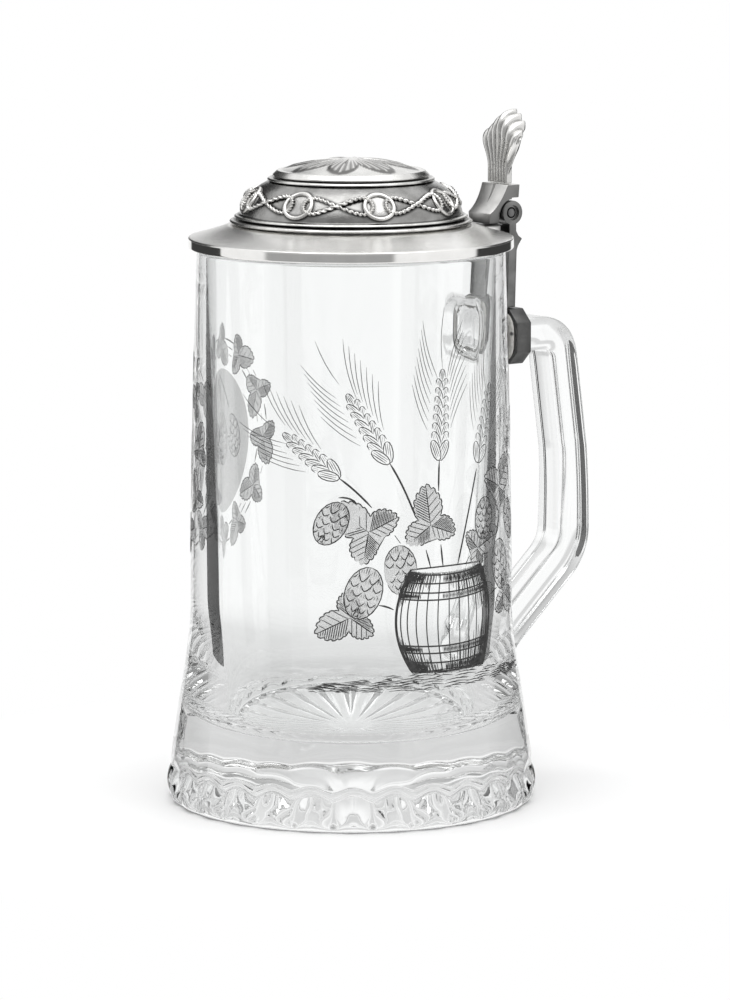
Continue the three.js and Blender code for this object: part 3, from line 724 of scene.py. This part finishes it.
def leaf_run(share, drawn_in):
    """The leaf's middle line at a share of its half width: up the stem, then over the roll."""
    crown = 194.6 - 5.6 * abs(share) ** 1.35
    spring = crown - 6.5 + 1.5 * abs(share)
    tip = (58.2 - 2.9 * share**6 - drawn_in, crown - 0.3)
    return trace((LEAF_FRONT, LEAF_FOOT), ((LEAF_FRONT, spring), 18), ((51.9, crown), tip, 22))


def reach_at(points, height):
    """How far a line of reach and height is out at a height."""
    for (near, low), (far, high) in zip(points, points[1:]):
        if height <= high:
            return near + (far - near) * (height - low) / (high - low)
    return points[-1][0]


def beside(run, off):
    """A line of reach and height moved out sideways."""
    moved = []
    for i, (reach, height) in enumerate(run):
        ahead = (Vector(run[min(i + 1, len(run) - 1)]) - Vector(run[max(i - 1, 0)])).normalized()
        moved.append((reach - ahead.y * off, height + ahead.x * off))
    return moved


rings = []
for i in range(LEAF_SLICES + 1):
    u = (2 * i / LEAF_SLICES - 1) * 1.16
    stepped = 0.6 * max(-1, min(1, round(3 * u) / 3)) + 0.4 * max(-1, min(1, u))
    flute = abs(math.cos(3 * math.pi * (u + 1))) ** 0.7
    run = leaf_run(stepped, 0.8 * (1 - flute))
    reach, top = run[-1]
    side = beside(run, 0.3 + 0.75 * flute)
    side += [(reach + 0.1, top - 0.5), (reach, top - 1.1), (reach - 0.4, top - 1.6)]
    for k in range(15):
        height = top - 2.2 + (LEAF_FOOT - top + 2.2) * k / 14
        side.append((min(reach_at(BACK_LINE, height), reach - 0.5), height))
    rings.append([(x, u * (3.95 + 2.8 * smooth((z - 179) / 9)), z) for x, z in side])
lift = place(loft(rings), "thumb_leaf")
turns = angles(12)
lines = [beside(leaf_run(1, 0)[21:], 0.5 * math.sin(b) - 1.0) for b in turns]
for side in (7.75, -7.75):
    rings = []
    for spots in zip(*lines):
        rings.append([(x, side + 0.6 * math.cos(b), z) for (x, z), b in zip(spots, turns)])
    join(lift, place(loft(rings), "under_roll"), "DIFFERENCE")
cast = lift.modifiers.new("cast", "REMESH")
cast.mode = "VOXEL"
cast.voxel_size = LEAF_GRAIN
lift_mesh = evaluated(lift)
lift.modifiers.clear()
shape = opened(lift_mesh)
bpy.data.meshes.remove(lift_mesh)
for passes in range(5):
    bmesh.ops.smooth_vert(
        shape, verts=shape.verts, factor=0.5, use_axis_x=True, use_axis_y=True, use_axis_z=True
    )
shape.normal_update()
stain_and_shade = shape.verts.layers.float.new("stain_and_shade")
for vert in shape.verts:
    middle = sum((edge.other_vert(vert).co for edge in vert.link_edges), Vector()) / len(vert.link_edges)
    vert[stain_and_shade] = (middle - vert.co).dot(vert.normal) * HOLLOW_GAIN
for passes in range(3):
    spread = {}
    for vert in shape.verts:
        beside_it = [edge.other_vert(vert)[stain_and_shade] for edge in vert.link_edges]
        spread[vert] = sum(beside_it) / len(beside_it)
    for vert, value in spread.items():
        vert[stain_and_shade] = (vert[stain_and_shade] + value) / 2
for vert in shape.verts:
    vert[stain_and_shade] = min(1, max(0, vert[stain_and_shade]))
for face in shape.faces:
    face.smooth = True
shape.to_mesh(lift.data)
shape.free()
leaf_pewter = pewter("leaf_pewter", (0.62, 0.615, 0.6), (0.78, 0.775, 0.76), 0.2, 0.3, 2500, 0.00003)
darken_by_stain_and_shade(leaf_pewter, (0.14, 0.14, 0.137))
fit(lift, leaf_pewter, "lid", "bright_pewter", "thumb_lift")

# The prints: black line work over pale grey fills, fired on the outside of the glass. On the front a cask
# stands among hops and barley; on the far side a garland of hop leaves runs round a sprig of cones.
PRINT_GIRTH = 45.3
CASK_MIDDLE = 2
CASK_FOOT = 44
CASK_TOP = 73
GARLAND_HEIGHT = 100


def around(corners):
    """An outline behind the box that holds it, for the test of what it hides."""
    xs, ys = zip(*corners)
    return min(xs), max(xs), min(ys), max(ys), corners


def hidden(spot, outline):
    """Whether a place is behind an outline that is already drawn."""
    left, right, low, high, corners = outline
    if not (left < spot[0] < right and low < spot[1] < high):
        return False
    odd = False
    for (x0, y0), (x1, y1) in zip(corners, corners[1:] + corners[:1]):
        if (y0 > spot[1]) != (y1 > spot[1]) and spot[0] < x0 + (x1 - x0) * (spot[1] - y0) / (y1 - y0):
            odd = not odd
    return odd


def ways(heading):
    """The ways ahead and aside at a heading."""
    ahead = Vector((math.cos(heading), math.sin(heading)))
    return ahead, Vector((-ahead.y, ahead.x))


class Print:
    """Lines and fills on a flat sheet, later wrapped round the mug. What is drawn first stays in front."""

    def __init__(self, name):
        self.name = name
        self.lines = bpy.data.curves.new(name + "_lines", "CURVE")
        self.lines.dimensions = "3D"
        self.lines.bevel_depth = 1
        self.lines.bevel_resolution = 0
        self.lines.use_fill_caps = True
        self.fills = bmesh.new()
        self.front = []

    def stroke(self, points, width):
        """A line with fine ends, left out where it runs behind what is drawn."""
        run = []
        for spot in list(points) + [None]:
            if spot is not None and not any(hidden(spot, outline) for outline in self.front):
                run.append(spot)
                continue
            if len(run) > 1:
                drawn = poly(self.lines, [(x, y, 0) for x, y in run])
                for i, point in enumerate(drawn):
                    point.radius = width / 2 * (0.4 if i in (0, len(run) - 1) else 1)
            run = []

    def cover(self, corners):
        """Hides what is drawn later inside an outline."""
        self.front.append(around(corners))

    def tint(self, corners):
        """Fills an outline."""
        self.fills.faces.new([self.fills.verts.new((x, y, 0)) for x, y in corners])

    def grain(self, spot, heading, length, awn):
        """A barley corn. Its long awn is given back to be drawn later."""
        ahead, aside = ways(heading)
        edge = []
        for a in angles(12):
            out = ahead * (length / 2 * (1 + math.cos(a)))
            edge.append(tuple(spot + out + aside * (length * 0.22 * math.sin(a))))
        self.stroke(edge + edge[:1], 0.3)
        for side in (0.09, 0.0, -0.09):
            ends = [spot + ahead * length * t + aside * length * side for t in (0.15, 0.4, 0.65, 0.9)]
            self.stroke([tuple(end) for end in ends], 0.26 if side > 0 else 0.2)
        self.cover(edge)
        tip = spot + ahead * length
        sweep = []
        for t in (0, 0.2, 0.4, 0.6, 0.8, 1):
            sweep.append(tuple(tip + ahead * awn * t + aside * (awn * 0.05 * math.sin(3 * t))))
        return sweep

    def ear(self, foot, bow, head, rows, corn, awn):
        """A barley ear on a bowed stalk, drawn from its foot up."""
        stalk = trace(foot, (bow, head, 14))
        run = (Vector(head) - Vector(stalk[-2])).normalized()
        turned = math.atan2(run.y, run.x)
        beards = []
        for k in range(rows):
            spot = Vector(head) + run * (k * corn * 0.42)
            shrink = 1 - 0.25 * k / rows
            for side in (1, -1):
                beards.append(self.grain(spot, turned + side * 0.42 * shrink, corn * shrink, awn))
        beards.append(self.grain(Vector(head) + run * (rows * corn * 0.42), turned, corn * 0.75, awn))
        for beard in beards:
            self.stroke(beard, 0.2)
        self.stroke(stalk, 0.55)

    def cone(self, x, y, heading, length, tinted=True):
        """A hop cone of overlapping scales, drawn from its stalk down."""
        ahead, aside = ways(heading)
        stalk = Vector((x, y))
        whole = []
        for a in angles(20):
            out = ahead * length * (0.5 - 0.5 * math.cos(a)) + aside * (length * 0.34 * math.sin(a))
            whole.append(tuple(stalk + out))
        inside = around(whole)
        self.stroke(whole + whole[:1], 0.3)
        for row in range(6):
            reach = length * (0.02 + 0.145 * row)
            wide = length * 0.36 * math.sin(math.pi * min(0.95, 0.28 + 0.13 * row)) ** 0.8
            for across in (-0.62, 0, 0.62) if row % 2 else (-0.33, 0.33, -0.95, 0.95):
                spot = stalk + ahead * (reach - length * 0.05 * abs(across)) + aside * (wide * across)
                scale = []
                for k in range(9):
                    t = k / 8 * 2 - 1
                    out = ahead * length * 0.3 * (1 - abs(t) ** 1.7)
                    scale.append(tuple(spot + out + aside * (wide * 0.5 * t)))
                self.stroke([end for end in scale if hidden(end, inside)], 0.34)
                for t in (-0.5, -0.15, 0.2, 0.55):
                    foot = spot + aside * (wide * 0.42 * t)
                    barb = [tuple(foot + ahead * length * d) for d in (0.02, 0.08, 0.14)]
                    self.stroke([end for end in barb if hidden(end, inside)], 0.24)
                self.cover(scale)
        self.cover(whole)
        if tinted:
            self.tint(whole)

    def leaf(self, x, y, heading, size):
        """A three-lobed hop leaf with a toothed edge, veins, and one side of each lobe hatched."""
        edge = []
        for k in range(90):
            a = math.radians(-158 + 316 * k / 89)
            off = min(abs(a - middle) for middle in (-2.05, 0, 2.05)) / 1.03
            lobe = max(0, 1 - off) ** 0.8
            reach = size * (0.36 + 0.64 * lobe) * (0.82 + 0.18 * math.cos(a)) * (1 - 0.07 * (k % 3 == 0))
            edge.append((x + reach * math.cos(a + heading), y + reach * math.sin(a + heading)))
        self.stroke(edge + edge[:1], 0.36)
        inside = around(edge)
        for turned, reach in ((0, 0.97), (2.05, 0.7), (-2.05, 0.7)):
            ahead, aside = ways(heading + turned)
            spine = [tuple(Vector((x, y)) + ahead * size * reach * t) for t in (0, 0.25, 0.5, 0.75, 1)]
            self.stroke(spine, 0.34)
            for k in range(int(size * 1.1)):
                foot = Vector((x, y)) + ahead * size * reach * (0.06 + 0.86 * k / (size * 1.1))
                for side, width in ((1, 0.26), (-1, 0.22)) if k % 3 == 0 else ((1, 0.26),):
                    rib = []
                    for t in range(9):
                        spot = tuple(foot + (ahead * 0.75 + aside * side) * size * 0.055 * t)
                        if not hidden(spot, inside):
                            break
                        rib.append(spot)
                    self.stroke(rib, width)
        self.cover(edge)
        self.tint(edge)

    def finish(self, middle):
        """Wraps the sheet round the mug, centred at a bearing, and makes its two layers pieces of the mug."""
        drawing = enter(self.name + "_lines", self.lines)
        bpy.context.view_layer.update()
        flat = evaluated(drawing)
        bpy.data.objects.remove(drawing)
        inked = opened(flat)
        bpy.data.meshes.remove(flat)
        bmesh.ops.scale(inked, vec=(1, 1, 0.12), verts=inked.verts)
        shift(inked, (0, 0, 0.11))
        for cut in range(-44, 45):
            for axis, step in (((1, 0, 0), 1.1), ((0, 1, 0), 4)):
                bmesh.ops.bisect_plane(
                    self.fills,
                    geom=self.fills.verts[:] + self.fills.edges[:] + self.fills.faces[:],
                    plane_co=Vector(axis) * cut * step + Vector((0, 90, 0)) * axis[1],
                    plane_no=axis,
                )
        push(self.fills, self.fills.faces[:], (0, 0, 0.03))
        shift(self.fills, (0, 0, 0.03))
        for layer, kind, enamel in ((inked, "ink", black_enamel), (self.fills, "tint", grey_enamel)):
            for vert in layer.verts:
                a = middle + vert.co.x / PRINT_GIRTH
                radius = reach_at(outside, vert.co.y) + vert.co.z
                vert.co = (radius * math.cos(a), radius * math.sin(a), vert.co.y)
            face_out(layer)
            fit(place(layer, self.name + "_" + kind), enamel, "mug", "print_" + kind)


def fired(name, dark, light, scale, cover):
    """Fired ceramic ink, a little uneven where the screen laid it."""
    made, tree, shader = surface(name, {"Roughness": 0.45, "Alpha": cover})
    tones = ramp(tree, noise(tree, scale, 3), [(0.35, dark), (0.65, light)])
    feed(tree, shader, {"Base Color": tones})
    return made


def on_cask(across, height, sag):
    """A place on the cask at a share of its half width, let down by a sag towards the middle."""
    half = 16.5 - 4.5 * ((height - 58.5) / 14.5) ** 2
    return CASK_MIDDLE + half * across, height - sag * (1 - across**2)


def round_garland(reach, count, half_turn):
    """Points round the garland's middle, so many to a half turn."""
    turns = [k / half_turn * math.pi for k in range(count)]
    return [(reach * math.cos(a), GARLAND_HEIGHT + reach * math.sin(a)) for a in turns]


black_enamel = fired("black_enamel", (0.015, 0.015, 0.015), (0.04, 0.04, 0.04), 700, 1)
grey_enamel = fired("grey_enamel", (0.36, 0.36, 0.36), (0.44, 0.44, 0.44), 60, 0.3)
front = Print("front_print")
cask = [on_cask(-1, CASK_FOOT + k, 0) for k in range(30)] + [on_cask(1, CASK_TOP - k, 0) for k in range(30)]
front.stroke(cask + cask[:1], 0.5)
for low, high in ((45, 47.4), (50, 52), (65, 67), (69.6, 72)):
    for level in (low, high):
        front.stroke([on_cask(t / 10, level, 1.2) for t in range(-10, 11)], 0.45)
    for k in range(-46, 47):
        t = k / 47
        if abs(t + 0.25) > 0.16:
            across, foot = on_cask(math.sin(1.5 * t), low, 1.2)
            rise = high - low
            front.stroke([(across, foot + 0.3), (across, foot + rise / 2), (across, foot + rise - 0.3)], 0.36)
for stave in range(-6, 7):
    across = math.sin(stave / 6.5 * 1.5)
    front.stroke([on_cask(across, CASK_FOOT + k * 1.8, 1.1) for k in range(17)], 0.36)
    for hatch in range(8):
        shade = math.sin((stave + 0.1 + hatch * 0.11) / 6.5 * 1.5)
        length = 12.5 * abs(shade + 0.2) ** 0.7 * (0.55 + 0.45 * math.sin(hatch * 2.4 + stave))
        for start, sign in ((44.3, 1), (72.6, -1)):
            front.stroke([on_cask(shade, start + sign * length * t / 6, 1.1) for t in range(7)], 0.24)
front.cover(cask)
for cone in (
    (-21, 74, -1.9, 15), (-13.5, 80, -1.5, 14), (23.5, 78, -1.3, 15),
    (30, 88, -1.0, 13), (-29, 92, -2.1, 13), (17, 91, -1.7, 12),
):
    front.cone(*cone)
for leaf in (
    (-22, 84, 2.5, 13), (-4, 85, 1.7, 12), (25, 93, 0.7, 12.5),
    (13, 77, 0.3, 9), (-27, 60, 3.6, 11), (28, 62, -0.5, 10),
):
    front.leaf(*leaf)
for ear in (
    ((0, 73), (-2, 88), (-1, 103), 8), ((-4, 73), (-9, 92), (-16, 103), 7),
    ((5, 73), (10, 90), (13.5, 101), 7), ((-8, 73), (-20, 92), (-30, 99), 6),
    ((8, 73), (20, 88), (28, 98), 6),
):
    front.ear(*ear, 6.2, 17)
for bine in (
    trace((-10, 72), ((-24, 74), (-23, 86), 12), ((-24, 96), (-33, 93), 12)),
    trace((12, 72), ((25, 74), (25, 90), 12), ((27, 100), (35, 96), 12)),
    trace((-15, 62), ((-22, 66), (-29, 59), 10)),
    trace((18, 62), ((24, 67), (31, 61), 10)),
):
    front.stroke(bine, 0.5)
for k in range(130):
    across = (k * 37 % 131) / 131 * 74 - 37
    down = 39.2 + (k * 53 % 97) / 97 * 6 * (1 - abs(across) / 52)
    length = 1.2 + (k * 29 % 31) / 31 * 2.6
    front.stroke([(across - length, down), (across, down + 0.25), (across + length, down - 0.1)], 0.28)
front.finish(math.radians(-91))

garland = Print("side_print")
for cone in ((0, 108, -1.57, 15), (-8.5, 106, -1.9, 13), (8.5, 106, -1.24, 13)):
    garland.cone(*cone, tinted=False)
garland.tint(round_garland(20.5, 72, 36))
for k in range(12):
    a = 2 * math.pi * k / 12 + 0.1
    heading = a + 1.57 + (0.75 if k % 2 else -0.35)
    garland.leaf(27.5 * math.cos(a), GARLAND_HEIGHT + 27.5 * math.sin(a), heading, 8.6)
for reach, width in ((25.2, 0.5), (29.2, 0.5), (27.2, 0.35)):
    garland.stroke(round_garland(reach, 81, 40), width)
for x in (-9, 0, 9):
    garland.stroke(trace((x, 106), ((x * 0.6, 114), (0, 119), 8)), 0.45)
garland.finish(math.radians(130))

# The studio: a pale table, a white room with dark screens that the metal mirrors, and soft light from above.
# Light through the glass sees a shaded backdrop, a painted shadow on the table beside the foot and, once it
# has been reflected inside the glass, grey cards that draw its dark lines. The camera sees the room as white.
TABLE_RADIUS = 1500
FOOT_RADIUS = 0.053
SEAM = 131
BACKDROP = (
    (-70, 0.62), (-30, 0.72), (-20.5, 0.79), (-16, 1), (-7, 1), (-4, 0.68),
    (3, 0.68), (8.5, 1), (14, 1), (19, 0.78), (26, 0.72), (55, 0.32),
)
CARD_DISTANCE = 205
LAMP_SIZE = 1.8
LIGHT_BOUNCES = 32
CAMERA_BEARING = math.radians(35)
CAMERA_DISTANCE = 1.4
CAMERA_HEIGHT = 0.302
AIM_HEIGHT = 0.086
PICTURE_SHIFT = 0.00395


def reckon(tree, operation, *values):
    """Values put through an operation of the maths node."""
    return add(tree, "Math", dict(enumerate(values)), operation=operation)


shape = bmesh.new()
bmesh.ops.create_circle(shape, cap_ends=True, segments=96, radius=TABLE_RADIUS)
floor = place(shape, "floor")
floor.visible_glossy = False
pale, tree, shader = surface(
    "pale_table", {"Base Color": (0.93, 0.93, 0.93, 1), "Roughness": 0.7, "Specular IOR Level": 0.2}
)
rays = add(tree, "LightPath").outputs
far = add(tree, "VectorMath", {0: spots_on(tree)}, operation="LENGTH")
fade = span(tree, far, 0.06, 0.16, interpolation_type="SMOOTHSTEP")
whitened = reckon(tree, "MULTIPLY", fade, rays["Is Camera Ray"])
lit = add(tree, "MixShader", {"Fac": whitened, 1: shader, 2: add(tree, "Emission")})
past = span(tree, far, 0.08, 0.13, interpolation_type="SMOOTHSTEP")
under_foot = reckon(tree, "LESS_THAN", far, FOOT_RADIUS)
unshaded = reckon(tree, "MAXIMUM", reckon(tree, "MAXIMUM", past, under_foot), rays["Glossy Depth"])
# Light through the glass that has not been reflected inside it sees the table near the foot, but not under
# it, as a flat grey glow: a painted shadow of the mug.
shade = add(tree, "Emission", {"Strength": 0.68})
through_glass = add(tree, "MixShader", {"Fac": unshaded, 1: shade, 2: add(tree, "BsdfTransparent")})
seen = add(tree, "MixShader", {"Fac": rays["Is Transmission Ray"], 1: lit, 2: through_glass})
feed(tree, tree.nodes["Material Output"], {"Surface": seen})
floor.data.materials.append(pale)

scene = bpy.context.scene
world = bpy.data.worlds.new("studio")
scene.world = world
world.use_nodes = True
room = world.node_tree
axes = add(room, "SeparateXYZ", {"Vector": add(room, "TexCoord").outputs["Generated"]}).outputs
bearing = reckon(room, "ARCTAN2", axes["Y"], axes["X"])
turns = reckon(room, "MULTIPLY_ADD", bearing, 0.5 / math.pi, -SEAM / 360)
round_about = reckon(room, "FRACT", turns)
tilt = reckon(room, "ARCSINE", axes["Z"])


def screens(stops, soft):
    """A ramp round the room from (bearing in degrees, width, level) screens on white."""
    marks = []
    for middle, width, level in stops:
        start, end = (middle - SEAM) % 360 - width / 2, (middle - SEAM) % 360 + width / 2
        for place_round, grey in ((start - soft, 1), (start, level), (end, level), (end + soft, 1)):
            marks.append((place_round / 360, (grey, grey, grey)))
    return ramp(room, round_about, sorted(marks))


def within(low, high, soft):
    """One between two elevations in degrees, zero beyond them."""
    rise = span(room, tilt, math.radians(low - soft), math.radians(low))
    fall = span(room, tilt, math.radians(high), math.radians(high + soft), 1, 0)
    return reckon(room, "MULTIPLY", rise, fall)


heights = span(room, tilt, -math.pi / 2, math.pi / 2)
backdrop = ramp(room, heights, [((elevation + 90) / 180, (grey, grey, grey)) for elevation, grey in BACKDROP])
low_boxes = screens([(108, 54, 0.05), (219, 90, 0.4), (3, 54, 0.05)], 3)
high_boxes = screens([(90, 50, 0.03), (219, 90, 0.45), (15, 48, 0.03)], 5)
shine = blend(room, within(2, 31, 6), (1.12, 1.12, 1.12, 1), high_boxes)
shine = blend(room, within(-30, -3, 4), shine, low_boxes)
rays = add(room, "LightPath").outputs
level = blend(room, rays["Is Transmission Ray"], shine, backdrop)
level = blend(room, rays["Is Camera Ray"], level, (1, 1, 1, 1))
feed(room, room.nodes["Background"], {"Color": level})

for name, bearing_of_card, half_width, low, high, lower, upper, least_turns in (
    ("left", 109.8, 33, -60, 180, 0.05, 0.1, 1),
    ("right", 0.2, 33, -60, 180, 0.17, 0.2, 1),
    ("back_left", 180, 33, -60, 180, 0.17, 0.2, 1),
    ("back_right", 289.8, 33, -60, 180, 0.05, 0.1, 1),
    ("front", 230, 96, -15, 100, 0.06, 0.08, 2),
):
    shape = bmesh.new()
    bmesh.ops.create_grid(shape, x_segments=1, y_segments=1, size=1)
    bmesh.ops.scale(shape, vec=(half_width, (high - low) / 2, 1), verts=shape.verts)
    rotate(shape, math.pi / 2, "X")
    shift(shape, (0, CARD_DISTANCE, (low + high) / 2))
    rotate(shape, math.radians(bearing_of_card - 90), "Z")
    card = place(shape, "card_" + name)
    for ray in ("camera", "diffuse", "glossy", "shadow"):
        setattr(card, "visible_" + ray, False)
    grey, tree, shader = surface("grey_card_" + name, {})
    tree.nodes.remove(shader)
    height = add(tree, "SeparateXYZ", {"Vector": spots_on(tree)}).outputs["Z"]
    depth = add(tree, "LightPath").outputs["Glossy Depth"]
    shown = reckon(tree, "GREATER_THAN", depth, least_turns - 0.5)
    glow = add(tree, "Emission", {"Strength": span(tree, height, 0.033, 0.085, lower, upper)})
    either = add(tree, "MixShader", {"Fac": shown, 1: add(tree, "BsdfTransparent"), 2: glow})
    feed(tree, tree.nodes["Material Output"], {"Surface": either})
    card.data.materials.append(grey)

lamp = bpy.data.lights.new("overhead", "AREA")
lamp.shape = "RECTANGLE"
lamp.size = LAMP_SIZE
lamp.size_y = LAMP_SIZE
lamp.energy = 17
overhead = enter("overhead", lamp)
overhead.location = (-0.15, -0.25, 1.8)
overhead.rotation_euler = (Vector((0, 0, 0.1)) - overhead.location).to_track_quat("-Z", "Y").to_euler()

lens = bpy.data.cameras.new("camera")
lens.lens = 178.5
lens.sensor_width = 36
camera = enter("camera", lens)
across, back = math.cos(CAMERA_BEARING), math.sin(CAMERA_BEARING)
aside = Vector((across, -back, 0)) * PICTURE_SHIFT
camera.location = Vector((-CAMERA_DISTANCE * back, -CAMERA_DISTANCE * across, CAMERA_HEIGHT)) + aside
aim = Vector((0, 0, AIM_HEIGHT)) + aside - camera.location
camera.rotation_euler = aim.to_track_quat("-Z", "Y").to_euler()
scene.camera = camera
scene.view_settings.view_transform = "Standard"
scene.cycles.max_bounces = LIGHT_BOUNCES
scene.cycles.glossy_bounces = LIGHT_BOUNCES
scene.cycles.transmission_bounces = LIGHT_BOUNCES
